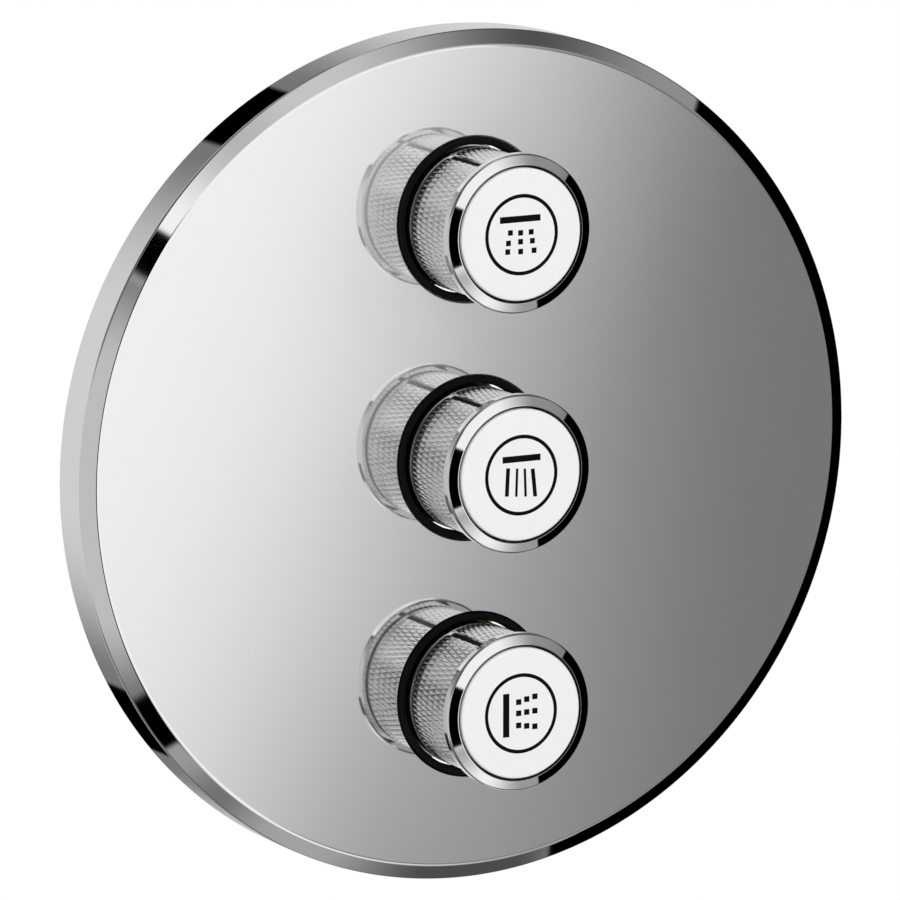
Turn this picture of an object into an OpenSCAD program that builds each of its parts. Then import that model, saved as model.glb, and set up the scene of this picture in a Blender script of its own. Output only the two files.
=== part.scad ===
// Wall-fixed shower control: a round plate with three push-and-turn flow knobs in a column,
// and the brass valve block that sits behind it inside the wall.
// The block's back face lies on the XZ plane. The plate and the knobs face -Y, and +Z is up.

/* [Plate] */
// Outer diameter of the round plate
plate_d = 158; // [150:1:176]
// Distance from the wall to the plate's face
plate_h = 10.4; // [9.8:0.1:13]
// Thickness of the plate's metal
plate_wall = 1.6; // [1.2:0.1:2]
// Radial width of the bevel round the face
bevel_w = 2.9; // [2:0.1:4.5]
// Height of that bevel
bevel_h = 1.5; // [1:0.1:2]
// Radius of the softened edges at both sides of the bevel
edge_r = 0.45; // [0.2:0.05:0.8]
// Gap between the plate's skirt and the wall
skirt_gap = 0.5; // [0.2:0.1:1]
// How far the retaining bead inside the skirt reaches inwards
bead_reach = 0.9; // [0.5:0.1:1.2]
// Height of that bead along the skirt
bead_h = 1; // [0.6:0.1:1.2]
// Small chamfer on turned and moulded edges
chamfer = 0.3; // [0.2:0.05:0.4]

/* [Knobs] */
// Distance between neighbouring knobs
knob_pitch = 44.2; // [42:0.2:52]
// Outer diameter of the knurled sleeve
grip_d = 27; // [26.6:0.1:28]
// Outer diameter of the polished bezel at its front
bezel_d = 29.3; // [28.6:0.1:30.2]
// Height of the bezel along the knob
bezel_h = 2.7; // [2:0.1:3.5]
// How far the bezel's sloping front falls from its inner to its outer edge
bezel_drop = 0.85; // [0.5:0.05:1.2]
// Radius of the bezel's soft outer edge
bezel_edge_r = 0.5; // [0.3:0.1:0.7]
// Distance from the plate's face to the front of the bezel
knob_reach = 18.85; // [18:0.05:21]
// Depth of the groove under the bezel and at the lower end of the knurl
relief_d = 0.4; // [0.2:0.1:0.6]
// Height of the plain polished foot between the plate and the knurl
foot_h = 1.9; // [1:0.1:3]
// Width of each relief groove
relief_w = 0.6; // [0.4:0.1:1]
// Width of the index groove that runs along the sleeve
index_w = 1.1; // [0.8:0.1:1.6]
// Depth of that groove
index_depth = 0.5; // [0.3:0.05:0.7]
// Place of that groove round the knob, from the right-hand side and counter-clockwise
index_angle = 113; // [90:1:135]
// Thickness of the ledge inside the sleeve that the hub is pressed against
ledge_t = 1; // [0.8:0.1:1.2]
// How far that ledge reaches inwards
ledge_w = 1; // [0.6:0.1:1.3]

/* [Buttons] */
// Diameter of the push button
button_d = 24.3; // [24:0.1:24.5]
// How far the button's face stands in front of the bezel
button_proud = 0.25; // [0.1:0.05:0.6]
// How far the button travels when pushed
travel = 3; // [1.5:0.1:3.5]
// Wall of the button's skirt
button_wall = 1.3; // [1:0.1:1.8]
// Length of the button's skirt
button_skirt = 8; // [7:0.1:8.4]
// Radius of the soft edge round the button's face
button_edge = 0.5; // [0.3:0.1:0.9]
// Radius of the engraved ring round the button's symbol
ring_r = 7.1; // [5:0.1:9]
// Width of that engraved ring
ring_w = 0.7; // [0.4:0.1:1]
// Depth of that engraved ring
ring_depth = 0.15; // [0.1:0.05:0.3]
// Thickness of the button's face
button_cap = 1.5; // [1.2:0.1:2]
// Thickness of the three ribs under the button's face
button_rib_t = 1.2; // [0.8:0.1:1.6]
// Height of those ribs
button_rib_h = 2; // [1:0.5:3]
// Wall of the stem that holds the plunger
stem_wall = 1.8; // [1.4:0.1:2.2]
// Solid height between the plunger's end and the button's face
stem_roof = 1; // [0.8:0.1:1.5]

/* [Plate seals] */
// Diameter of the holes in the plate
hole_d = 30.5; // [30:0.1:31.4]
// Height that each seal stands above the plate's face
seal_proud = 0.5; // [0.2:0.1:1]
// Thickness of the seal's flange behind the plate
seal_flange_t = 1; // [0.8:0.1:1.4]
// How far that flange reaches past the hole
seal_flange_w = 1.6; // [1:0.1:2]
// Width of the foam gasket that lies on the wall
gasket_w = 3.4; // [2:0.1:5]

/* [Carrier] */
// Thickness of the moulded carrier's web
carrier_t = 2; // [1.6:0.1:2.4]
// Thickness of the carrier's walls and ribs
rib_t = 1.6; // [1.2:0.1:2.2]
// Distance of the carrier's screws from the knobs' line
screw_x = 24; // [23:0.5:27]
// Thread diameter of the carrier's screws
screw_d = 4; // [3.5:0.5:5]
// Head diameter of the carrier's screws
screw_head_d = 7.4; // [7:0.1:8.4]
// Head height of the carrier's screws
screw_head_h = 2.4; // [1.8:0.1:2.6]
// Depth that the carrier's screws reach into the block's pillars
screw_grip = 12; // [8:1:18]
// Outer diameter of the spacers on those screws
spacer_d = 9; // [8:0.5:11]
// Radius of the round edge of the screws' heads
screw_head_r = 1.6; // [1:0.1:1.7]
// Width of the cross slots in the screws' heads
screw_slot = 1; // [0.8:0.1:1.2]
// Free depth under the screws' tips
screw_tip_gap = 2; // [1:0.5:3]
// Distance of the carrier's rim rib from the edge of the plate's face
rim_rib_gap = 3; // [2:0.5:6]

/* [Valve block] */
// Depth of the block, from its back face to the wall's surface
block_depth = 46; // [44:1:60]
// Diameter of the block's flange
flange_d = 126; // [124:1:134]
// Thickness of that flange
flange_t = 7; // [5:0.5:8]
// Outer diameter of each valve tower
tower_d = 32; // [30:0.5:34]
// Distance from the wall's surface down to the tops of the towers
tower_drop = 6; // [5:0.5:8]
// Width of the column that joins the towers
column_w = 26; // [20:1:30]
// Height of that column above the block's back face
column_h = 24; // [20:1:27]
// Distance of the inlet rail from the knobs' line
rail_x = 14; // [13:0.5:15]
// Outer diameter of the inlet rail
rail_d = 16; // [14:0.5:16.5]
// How far the rail runs past the outer knobs' centres
rail_over = 10.8; // [10.4:0.1:11.4]
// Distance of the ports from the knobs' line
port_x = 26; // [25:0.5:28]
// Bore diameter of the four ports
port_d = 16; // [14:0.5:17]
// Depth of each port's bore
port_depth = 14; // [12:0.5:16]
// Wall round each port's bore
port_wall = 3; // [2.5:0.1:3.5]
// Section diameter of the ring seal round each port
port_seal_d = 1.8; // [1.4:0.1:1.8]
// Distance between the fixing holes, side to side
fixing_x = 97; // [94:1:100]
// Distance between the fixing holes, up and down
fixing_z = 56; // [50:1:60]
// Diameter of the fixing holes
fixing_d = 5.5; // [4.5:0.5:6.5]
// Wall of the raised pad round each fixing hole
fixing_wall = 3; // [2:0.5:4]
// Height of that pad above the flange
fixing_pad_h = 1.5; // [1:0.5:2.5]
// Radius of the flange's front edge
flange_edge_r = 1.5; // [1:0.1:2]
// Width of the raised rim round each tower's top
tower_rim_w = 1.2; // [0.8:0.1:1.6]
// Height of that rim
tower_rim_h = 2; // [1.5:0.5:3]
// Wall of the screw pillars
pillar_wall = 3.5; // [3:0.1:4]
// Width of the flare at each pillar's root
root_w = 2; // [1:0.5:3]
// Height of that flare above the flange
root_h = 5; // [3:0.5:8]
// Width of the flat land between each port and its seal groove
port_land = 1; // [0.8:0.1:1.2]
// Height of the port galleries over the ports' bosses
gallery_rise = 2; // [1:0.5:3]
// Height of the inlet rail over the column
rail_rise = 2; // [1:0.5:3]
// Wall of the rail round the pockets of its plugs
plug_wall = 1.2; // [1:0.1:1.6]
// Distance across the flats of the plugs' heads
plug_af = 11; // [9:0.5:11.5]
// Diameter of the recess in those heads
plug_bore = 7; // [5:0.5:8]
// Thickness of the plugs' flanges
plug_flange = 1.2; // [1:0.1:1.6]
// Height of the plugs' heads
plug_head = 2.5; // [2:0.1:2.8]

/* [Valve inserts] */
// Diameter of the insert's barrel inside the tower
insert_d = 20.6; // [19.6:0.1:21.4]
// Height of the insert's barrel
insert_h = 19.5; // [18:0.1:21]
// Diameter of the insert's shoulder
shoulder_d = 23.2; // [22.8:0.1:24]
// Height of that shoulder
shoulder_h = 2.5; // [2:0.1:3]
// Diameter of the insert's neck
neck_d = 16; // [15.4:0.1:16.4]
// Height that the neck reaches past the tower's top
neck_over = 5; // [4:0.1:6]
// Section diameter of the insert's ring seals
ring_seal_d = 1.6; // [1.2:0.1:1.8]
// Distance of the seals' grooves from the ends of the barrel
seal_land = 2; // [1.5:0.1:2.2]
// Width of the four windows in the insert's barrel
window_w = 5; // [3:0.5:7]
// Height of those windows
window_h = 6; // [4:0.5:7]
// Depth of those windows
window_depth = 2.5; // [1.5:0.1:3]
// Distance of the windows from the barrel's lower end
window_low = 6; // [5.6:0.1:7]
// Depth of the spindle's bearing below the tower's top
socket_depth = 5; // [4:0.5:6]
// Thickness of the floor under the spring's chamber
chamber_floor = 6; // [4:0.5:7]
// Distance across the flats of the gland nut
nut_af = 26; // [25.5:0.5:28]
// Thickness of the nut's cap over the spindle's collar
nut_cap = 1.9; // [1.4:0.1:2.2]
// Diameter of the nut's thread
nut_thread_d = 24.6; // [24.2:0.1:25.4]

/* [Spindle and plunger] */
// Diameter of the hollow spindle
spindle_d = 12; // [11.6:0.1:12.4]
// Diameter of the spindle's collar
collar_d = 14.8; // [14:0.1:15]
// Height of that collar
collar_h = 1.3; // [1:0.1:1.6]
// Diameter over the tips of the spindle's splines
spline_d = 11.2; // [10.8:0.1:11.4]
// Number of splines
spline_n = 20; // [16:1:24]
// Depth of the splines
spline_depth = 0.7; // [0.5:0.05:0.8]
// Height of the splined engagement
spline_h = 5; // [4:0.1:5.4]
// Thickness of the clip on the spindle's nose
clip_t = 0.9; // [0.7:0.1:1.1]
// Outer diameter of that clip
clip_d = 14; // [13:0.1:15]
// Diameter of the two plier holes in that clip
clip_hole_d = 1.6; // [1.2:0.1:1.8]
// Depth of the clip's groove below the splines' tips
clip_groove = 1.3; // [1.1:0.1:1.5]
// Height of the spindle's nose beyond the clip
nose_h = 1; // [0.8:0.1:1.4]
// Height of the plain shaft between the nut and the splines
shaft_gap = 1; // [0.5:0.1:1.2]
// Wall of the hub's boss round the splines
boss_wall = 3; // [2:0.1:3.6]
// Distance of the boss's lower end from the hub's top
boss_drop = 7.5; // [7:0.1:8]
// Thickness of the hub's web
web_t = 2; // [1.6:0.1:2.4]
// Diameter of the plunger's rod
plunger_d = 4; // [3.6:0.1:4.4]
// Distance across the flats of the plunger's hexagonal foot
foot_af = 7; // [6.4:0.1:7.6]
// Height of that foot
plunger_foot_h = 6; // [4.5:0.1:7]
// Wire diameter of the return spring
wire_d = 0.6; // [0.4:0.05:0.8]
// Turns in the return spring
coil_turns = 6; // [4:1:8]

/* [Clearances] */
// Radial running clearance of spindle and plunger
running = 0.06; // [0.03:0.01:0.09]
// Clearance between pieces that are pushed together
fit_gap = 0.1; // [0.05:0.01:0.15]
// Gap between the turning sleeve and the seal round it
sleeve_gap = 0.35; // [0.3:0.05:0.5]
// Gap round the button inside the bezel
button_gap = 0.2; // [0.15:0.01:0.3]
// Gap between parts that must not touch
free_gap = 0.4; // [0.3:0.05:0.6]

/* [Hidden] */
ROWS = ["top", "middle", "bottom"];
KNOB_PARTS = ["lip_seal", "grip", "grip_hub", "button", "plunger", "return_spring",
    "spindle", "clip", "gland_nut", "insert", "insert_seals"];
PLATE_PARTS = ["escutcheon", "wall_gasket", "carrier", "carrier_screws", "carrier_spacers",
    "valve_block", "rail_plugs", "port_seals"];

$fn = 96;
eps = 0.02;

// Plate, counted outwards from the block's back face
wall_z = block_depth;
face_z = wall_z + plate_h;
inner_z = face_z - plate_wall;
plate_r = plate_d / 2;
face_r = plate_r - bevel_w;
shoulder_z = face_z - bevel_h;
skirt_z = wall_z + skirt_gap;
skirt_in = plate_r - plate_wall;
bead_z = skirt_z + bead_h;
bead_in = skirt_in - bead_reach;
hole_r = hole_d / 2;

// Knob stack
grip_r = grip_d / 2;
bezel_r = bezel_d / 2;
button_r = button_d / 2;
bore_r = button_r + button_gap;
bezel_z = face_z + knob_reach;
button_z = bezel_z + button_proud;
grip_z = inner_z - free_gap;
knurl_z = face_z + foot_h;
knurl_top = bezel_z - bezel_h - relief_w;
skirt_end = button_z - button_skirt;
ledge_top = skirt_end - travel - free_gap * 2;
ledge_in = bore_r - ledge_w;

// Valve stack
tower_z = wall_z - tower_drop;
tower_r = tower_d / 2;
nut_thread_h = tower_drop;
thread_z = tower_z - nut_thread_h;
step_z = thread_z - shoulder_h;
insert_z = step_z - insert_h;
neck_top = tower_z + neck_over;
insert_r = insert_d / 2;
shoulder_r = shoulder_d / 2;
neck_r = neck_d / 2;
insert_bore_r = insert_r + fit_gap;
SEAL_Z = [insert_z + seal_land, step_z - seal_land - ring_seal_d - free_gap];
socket_r = spindle_d / 2 + running;
spindle_r = spindle_d / 2;
socket_z = tower_z - socket_depth;
collar_top = neck_top + collar_h;
nut_top = collar_top + fit_gap * 2 + nut_cap;

// Spindle nose, hub and clip
hub_top = ledge_top - ledge_t - fit_gap;
hub_z = grip_z + free_gap;
boss_z = hub_top - boss_drop;
boss_top = boss_z + spline_h;
boss_r = spline_d / 2 + boss_wall;
spline_z = nut_top + shaft_gap;
clip_z = boss_top + fit_gap;
nose_top = clip_z + clip_t + nose_h;
nose_neck_r = spline_d / 2 - clip_groove;

// Plunger and its chamber
plunger_r = plunger_d / 2;
chamber_z = insert_z + chamber_floor;
foot_top = socket_z;
foot_z = foot_top - plunger_foot_h;
plunger_top = button_z - button_cap - stem_roof;
stem_r = plunger_r + stem_wall;
stem_z = nose_top + travel + free_gap * 2;

// Carrier
carrier_z = bead_z + fit_gap * 2;
carrier_r = skirt_in - free_gap;
ring_in = hole_r + seal_flange_w + free_gap;
rim_rib_r = face_r - rim_rib_gap;
pillar_z = thread_z;
pillar_r = screw_d / 2 + pillar_wall;
spacer_z = pillar_z;

// Ports: three outlets beside the towers and one inlet beside the rail
PORTS = [[port_x, knob_pitch], [port_x, 0], [port_x, -knob_pitch], [-port_x, 0]];
port_r = port_d / 2;
port_boss_r = port_r + port_wall;
port_boss_h = port_depth + port_wall;
port_groove_in = port_r + port_land;
gallery_r = port_r;
gallery_z = port_boss_h - gallery_r + gallery_rise;
rail_r = rail_d / 2;
rail_z = column_h + rail_rise - rail_r;
rail_end = knob_pitch + rail_over;
plug_r = rail_r - plug_wall;

// Points of an arc about c, from angle a0 to a1
function arc(c, r, a0, a1, n = 6) =
    [for (i = [0:n]) c + r * [cos(a0 + (a1 - a0) * i / n), sin(a0 + (a1 - a0) * i / n)]];

// Points that round the convex corner p between the directions towards a and b
function rounded(p, a, b, r, n = 6) =
    let (u = (a - p) / norm(a - p), v = (b - p) / norm(b - p),
        half = acos(u * v) / 2, mid = (u + v) / norm(u + v),
        c = p + mid * r / sin(half),
        t0 = p + u * r / tan(half), t1 = p + v * r / tan(half),
        a0 = atan2(t0[1] - c[1], t0[0] - c[0]), a1 = atan2(t1[1] - c[1], t1[0] - c[0]),
        turn = (a1 - a0 > 180) ? a1 - a0 - 360 : (a1 - a0 < -180) ? a1 - a0 + 360 : a1 - a0)
    arc(c, r, a0, a0 + turn, n);

// Turns a piece drawn along +Z so that it faces the viewer
module facing() {
    rotate([90, 0, 0]) children();
}

module at_row(i) {
    facing() translate([0, knob_pitch * (1 - i), 0]) children();
}

module ring(r_out, r_in, z, h) {
    translate([0, 0, z]) rotate_extrude() translate([r_in, 0]) square([r_out - r_in, h]);
}

module bar(x0, x1, y, w, z, h) {
    translate([x0, y - w / 2, z]) cube([x1 - x0, w, h]);
}

module hexagon(af, z, h) {
    translate([0, 0, z]) cylinder(d = af / cos(30), h = h, $fn = 6);
}

module at_screws() {
    for (x = [-1, 1], y = [-1, 1]) translate([x * screw_x, y * knob_pitch / 2, 0]) children();
}

module at_ports() {
    for (p = PORTS) translate([p[0], p[1], 0]) children();
}

module at_knobs() {
    for (i = [-1:1]) translate([0, i * knob_pitch, 0]) children();
}

// A stack of splines: a round core with straight-flanked teeth
module splines(r, depth, n, h) {
    linear_extrude(h)
        polygon([for (i = [0:n - 1]) for (k = [[-0.3, r - depth], [-0.16, r], [0.16, r], [0.3, r - depth]])
            k[1] * [cos(360 * (i + k[0]) / n), sin(360 * (i + k[0]) / n)]]);
}

// Round plate: flat mirror face, bevel, side wall and an open back
module escutcheon() {
    color([0.8, 0.81, 0.82]) facing() difference() {
        rotate_extrude($fn = 180) polygon(concat(
            [[0, face_z]],
            rounded([face_r, face_z], [0, face_z], [plate_r, shoulder_z], edge_r * 3),
            rounded([plate_r, shoulder_z], [face_r, face_z], [plate_r, skirt_z], edge_r),
            [[plate_r, skirt_z + chamfer], [plate_r - chamfer, skirt_z], [bead_in + chamfer, skirt_z],
                [bead_in, skirt_z + chamfer], [bead_in, bead_z - chamfer], [bead_in + chamfer, bead_z],
                [skirt_in, bead_z], [skirt_in, shoulder_z - plate_wall / 2],
                [face_r - plate_wall / 2, inner_z], [0, inner_z]]));
        at_knobs() {
            translate([0, 0, inner_z - 1]) cylinder(r = hole_r, h = plate_wall + 2);
            translate([0, 0, face_z - chamfer])
                cylinder(r1 = hole_r, r2 = hole_r + chamfer * 2, h = chamfer * 2);
        }
    }
}

// Foam ring under the carrier that presses on the wall
module wall_gasket() {
    color([0.12, 0.12, 0.13]) facing()
        ring(bead_in - free_gap, bead_in - free_gap - gasket_w, wall_z, carrier_z - wall_z);
}

// Moulded carrier that the plate snaps on to
module carrier() {
    web_top = carrier_z + carrier_t;
    wall_h = inner_z - web_top;
    rib_h = wall_h - free_gap;
    rib_in = ring_in + rib_t / 2;
    color([0.2, 0.21, 0.22]) facing() difference() {
        union() {
            translate([0, 0, carrier_z]) cylinder(r = carrier_r, h = carrier_t);
            at_knobs() ring(ring_in + rib_t, ring_in, web_top - eps, wall_h + eps);
            ring(rim_rib_r, rim_rib_r - rib_t, web_top - eps, rib_h);
            for (s = [-1, 1]) {
                for (i = [-1:1]) {
                    rib_out = sqrt(pow(rim_rib_r - rib_t / 2, 2) - pow(i * knob_pitch, 2));
                    rib_l = rib_out - rib_in;
                    bar(s * (rib_in + rib_l / 2) - rib_l / 2, s * (rib_in + rib_l / 2) + rib_l / 2,
                        i * knob_pitch, rib_t, web_top - eps, rib_h);
                }
                rotate([0, 0, s * 90])
                    bar(knob_pitch + rib_in, rim_rib_r - rib_t / 2, 0, rib_t, web_top - eps, rib_h);
            }
        }
        at_knobs() translate([0, 0, carrier_z - 1]) cylinder(r = ring_in, h = plate_h);
        at_screws() translate([0, 0, carrier_z - 1]) cylinder(d = screw_d + fit_gap * 4, h = carrier_t + 2);
    }
}

// Four pan-head screws from the carrier into the block's pillars
module carrier_screws() {
    head_z = carrier_z + carrier_t;
    color([0.72, 0.72, 0.7]) facing() at_screws() difference() {
        union() {
            translate([0, 0, pillar_z - screw_grip])
                cylinder(d = screw_d, h = head_z - pillar_z + screw_grip + eps);
            translate([0, 0, head_z]) rotate_extrude()
                polygon(concat([[0, 0], [screw_head_d / 2, 0]],
                    arc([screw_head_d / 2 - screw_head_r, screw_head_h - screw_head_r], screw_head_r, 0, 90),
                    [[0, screw_head_h]]));
        }
        for (a = [0, 90]) rotate([0, 0, a])
            bar(-screw_d / 2, screw_d / 2, 0, screw_slot, head_z + screw_head_h / 2, screw_head_h);
    }
}

// Plain tubes that hold the carrier at its height
module carrier_spacers() {
    color([0.85, 0.85, 0.83]) facing() at_screws()
        ring(spacer_d / 2, screw_d / 2 + fit_gap * 2, spacer_z, carrier_z - spacer_z);
}

// Cast brass body: flange, column, three towers, the inlet rail and four ports
module valve_block() {
    color([0.78, 0.62, 0.33]) facing() difference() {
        union() {
            rotate_extrude($fn = 180) polygon(concat(
                [[0, 0], [flange_d / 2 - chamfer * 2, 0], [flange_d / 2, chamfer * 2]],
                rounded([flange_d / 2, flange_t], [flange_d / 2, 0], [0, flange_t], flange_edge_r),
                [[0, flange_t]]));
            bar(-column_w / 2, column_w / 2, 0, knob_pitch * 2, 0, column_h);
            at_knobs() {
                cylinder(r = tower_r, h = tower_z);
                ring(tower_r + tower_rim_w, tower_r - eps, tower_z - tower_rim_w - tower_rim_h, tower_rim_h);
            }
            translate([-rail_x, rail_end, rail_z]) rotate([90, 0, 0])
                cylinder(r = rail_r, h = rail_end * 2);
            at_ports() cylinder(r = port_boss_r, h = port_boss_h);
            for (p = PORTS) translate([0, p[1], gallery_z]) rotate([0, p[0] > 0 ? 90 : -90, 0])
                cylinder(r = gallery_r, h = port_x);
            at_screws() {
                cylinder(r = pillar_r, h = pillar_z);
                cylinder(r1 = pillar_r + root_w, r2 = pillar_r, h = flange_t + root_h);
            }
            for (x = [-1, 1], y = [-1, 1]) translate([x * fixing_x / 2, y * fixing_z / 2, 0])
                cylinder(d = fixing_d + fixing_wall * 2, h = flange_t + fixing_pad_h);
        }
        at_knobs() {
            translate([0, 0, insert_z - 1]) cylinder(r = insert_bore_r, h = insert_h + 2);
            translate([0, 0, step_z]) cylinder(r = shoulder_r + fit_gap, h = shoulder_h + 1);
            translate([0, 0, thread_z]) cylinder(d = nut_thread_d + fit_gap * 2, h = nut_thread_h + 1);
        }
        for (s = [0, 1]) mirror([0, s, 0]) translate([-rail_x, rail_end, rail_z]) rotate([-90, 0, 0])
            cylinder(r = plug_r + fit_gap * 3, h = flange_d / 2 - knob_pitch);
        at_ports() {
            translate([0, 0, -1]) cylinder(r = port_r, h = port_depth + 1);
            ring(port_groove_in + port_seal_d + fit_gap * 2, port_groove_in, -1, 1 + port_seal_d + fit_gap);
        }
        at_screws() translate([0, 0, pillar_z - screw_grip - screw_tip_gap])
            cylinder(d = screw_d + fit_gap, h = screw_grip + screw_tip_gap + 1);
        for (x = [-1, 1], y = [-1, 1]) translate([x * fixing_x / 2, y * fixing_z / 2, -1])
            cylinder(d = fixing_d, h = flange_t + fixing_pad_h + 2);
    }
}

// Hexagonal plugs that close both ends of the drilled inlet rail
module rail_plugs() {
    color([0.75, 0.6, 0.32]) facing() for (s = [0, 1]) mirror([0, s, 0])
        translate([-rail_x, rail_end, rail_z]) rotate([-90, 0, 0]) difference() {
            union() {
                cylinder(r = plug_r, h = plug_flange);
                hexagon(plug_af, plug_flange, plug_head);
            }
            translate([0, 0, plug_flange * 2]) cylinder(d = plug_bore, h = plug_head);
        }
}

// Ring seals that lie in the grooves round the ports, flush with the block's back
module port_seals() {
    color([0.08, 0.08, 0.08]) facing() at_ports() rotate_extrude()
        translate([port_groove_in + fit_gap + port_seal_d / 2, port_seal_d / 2])
            circle(d = port_seal_d, $fn = 32);
}

// Rubber seal that lines the plate's hole and wipes the turning sleeve
module lip_seal() {
    r_in = grip_r + sleeve_gap;
    r_out = hole_r - fit_gap;
    top = face_z + seal_proud;
    color([0.05, 0.05, 0.055]) rotate_extrude() polygon([
        [r_in + chamfer, inner_z - seal_flange_t], [hole_r + seal_flange_w, inner_z - seal_flange_t],
        [hole_r + seal_flange_w, inner_z], [r_out, inner_z], [r_out, top - chamfer], [r_out - chamfer, top],
        [r_in + chamfer, top], [r_in, top - chamfer], [r_in, inner_z - seal_flange_t + chamfer]]);
}

// Turned sleeve with its relief grooves, its index groove and the bezel with a sloping front
module grip() {
    bezel_low = bezel_z - bezel_h;
    front_in = [bore_r, bezel_z];
    front_out = [bezel_r, bezel_z - bezel_drop];
    color([0.82, 0.83, 0.84]) difference() {
        rotate_extrude($fn = 128) polygon(concat(
            rounded(front_in, [bore_r, bezel_low], front_out, chamfer, 4),
            rounded(front_out, front_in, [bezel_r, bezel_low], bezel_edge_r),
            [[bezel_r, bezel_low + chamfer], [bezel_r - chamfer, bezel_low],
                [grip_r - relief_d, bezel_low], [grip_r - relief_d, knurl_top], [grip_r, knurl_top],
                [grip_r, knurl_z], [grip_r - relief_d, knurl_z], [grip_r - relief_d, knurl_z - relief_w],
                [grip_r, knurl_z - relief_w], [grip_r, grip_z + chamfer], [grip_r - chamfer, grip_z],
                [bore_r + chamfer, grip_z], [bore_r, grip_z + chamfer], [bore_r, ledge_top - ledge_t],
                [ledge_in, ledge_top - ledge_t], [ledge_in, ledge_top - ledge_t / 2], [bore_r, ledge_top]]));
        rotate([0, 0, index_angle])
            bar(grip_r - index_depth, grip_r + 1, 0, index_w, knurl_z, knurl_top - knurl_z);
    }
}

// Moulded hub pressed into the sleeve, splined on to the spindle
module grip_hub() {
    color([0.3, 0.31, 0.33]) difference() {
        union() {
            ring(bore_r - fit_gap, bore_r - fit_gap - rib_t, hub_z, hub_top - hub_z);
            translate([0, 0, boss_z]) cylinder(r = bore_r - fit_gap - rib_t / 2, h = web_t);
            translate([0, 0, boss_z]) cylinder(r = boss_r, h = spline_h);
            for (a = [0:60:300]) rotate([0, 0, a + 30])
                bar(boss_r - 0.5, bore_r - rib_t, 0, rib_t, boss_z, spline_h - 1);
        }
        translate([0, 0, boss_z - 1]) splines(spline_d / 2 + fit_gap, spline_depth, spline_n, spline_h + 2);
    }
}

// Button: a shallow cup with a stem for the plunger and the engraved ring on its face
module button() {
    color([0.93, 0.93, 0.92]) difference() {
        union() {
            rotate_extrude($fn = 128) polygon(concat(
                [[0, button_z], [button_r - button_edge, button_z]],
                arc([button_r - button_edge, button_z - button_edge], button_edge, 90, 0, 5),
                [[button_r, skirt_end + chamfer], [button_r - chamfer, skirt_end],
                    [button_r - button_wall, skirt_end], [button_r - button_wall, button_z - button_cap],
                    [0, button_z - button_cap]]));
            translate([0, 0, stem_z]) cylinder(r = stem_r, h = button_z - button_cap - stem_z + eps);
            for (a = [0:120:240]) rotate([0, 0, a + 90])
                bar(stem_r - chamfer, button_r - button_wall + eps, 0, button_rib_t,
                    button_z - button_cap - button_rib_h, button_rib_h + eps);
        }
        translate([0, 0, stem_z - 1])
            cylinder(r = plunger_r + fit_gap / 4, h = plunger_top + fit_gap - stem_z + 1);
        ring(ring_r + ring_w / 2, ring_r - ring_w / 2, button_z - ring_depth, ring_depth + 1);
    }
}

// Steel rod that carries the button, with a hexagonal foot that keeps it from turning
module plunger() {
    color([0.7, 0.71, 0.72]) union() {
        translate([0, 0, foot_top - eps]) cylinder(r = plunger_r, h = plunger_top - foot_top + eps);
        hexagon(foot_af, foot_z, plunger_foot_h);
    }
}

// Coil spring in the insert's chamber, under the plunger's foot
module return_spring() {
    coil_r = foot_af / 2 - wire_d / 2 - fit_gap * 2;
    sides = 6;
    per_turn = 14;
    steps = coil_turns * per_turn;
    low = chamber_z + wire_d / 2;
    high = foot_z - wire_d / 2;
    function ring_at(k) =
        let (a = 360 * k / per_turn, z = low + (high - low) * k / steps)
        [for (s = [0:sides - 1]) let (b = 360 * s / sides, r = coil_r + wire_d / 2 * cos(b))
            [r * cos(a), r * sin(a), z + wire_d / 2 * sin(b)]];
    points = [for (k = [0:steps]) each ring_at(k)];
    faces = concat(
        [[for (s = [0:sides - 1]) s]],
        [for (k = [0:steps - 1]) for (s = [0:sides - 1])
            let (t = (s + 1) % sides, a = k * sides, b = a + sides) each
            [[a + s, b + s, b + t], [a + s, b + t, a + t]]],
        [[for (s = [0:sides - 1]) steps * sides + sides - 1 - s]]);
    color([0.6, 0.61, 0.62]) polyhedron(points, faces);
}

// Hollow spindle that turns in the insert's neck
module spindle() {
    color([0.74, 0.6, 0.34]) difference() {
        union() {
            translate([0, 0, socket_z + fit_gap * 2])
                cylinder(r = spindle_r, h = nut_top + shaft_gap / 2 - socket_z);
            translate([0, 0, neck_top]) cylinder(d = collar_d, h = collar_h);
            translate([0, 0, nut_top]) cylinder(r = spline_d / 2 - spline_depth, h = clip_z - nut_top);
            translate([0, 0, spline_z]) splines(spline_d / 2, spline_depth, spline_n, boss_top - spline_z);
            translate([0, 0, clip_z - eps]) cylinder(r = nose_neck_r, h = clip_t + eps * 2);
            translate([0, 0, clip_z + clip_t]) cylinder(r = spline_d / 2 - spline_depth, h = nose_h);
        }
        translate([0, 0, socket_z - 1]) cylinder(r = plunger_r + running, h = nose_top - socket_z + 2);
    }
}

// Open spring clip in the groove of the spindle's nose
module clip() {
    color([0.66, 0.67, 0.68]) difference() {
        ring(clip_d / 2, nose_neck_r + fit_gap / 2, clip_z, clip_t);
        translate([0, -nose_neck_r * 0.8, clip_z - 1]) cube([clip_d, nose_neck_r * 1.6, clip_t + 2]);
        for (a = [120, 240]) rotate([0, 0, a])
            translate([(nose_neck_r + clip_d / 2) / 2, 0, clip_z - 1])
                cylinder(d = clip_hole_d, h = clip_t + 2, $fn = 24);
    }
}

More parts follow.
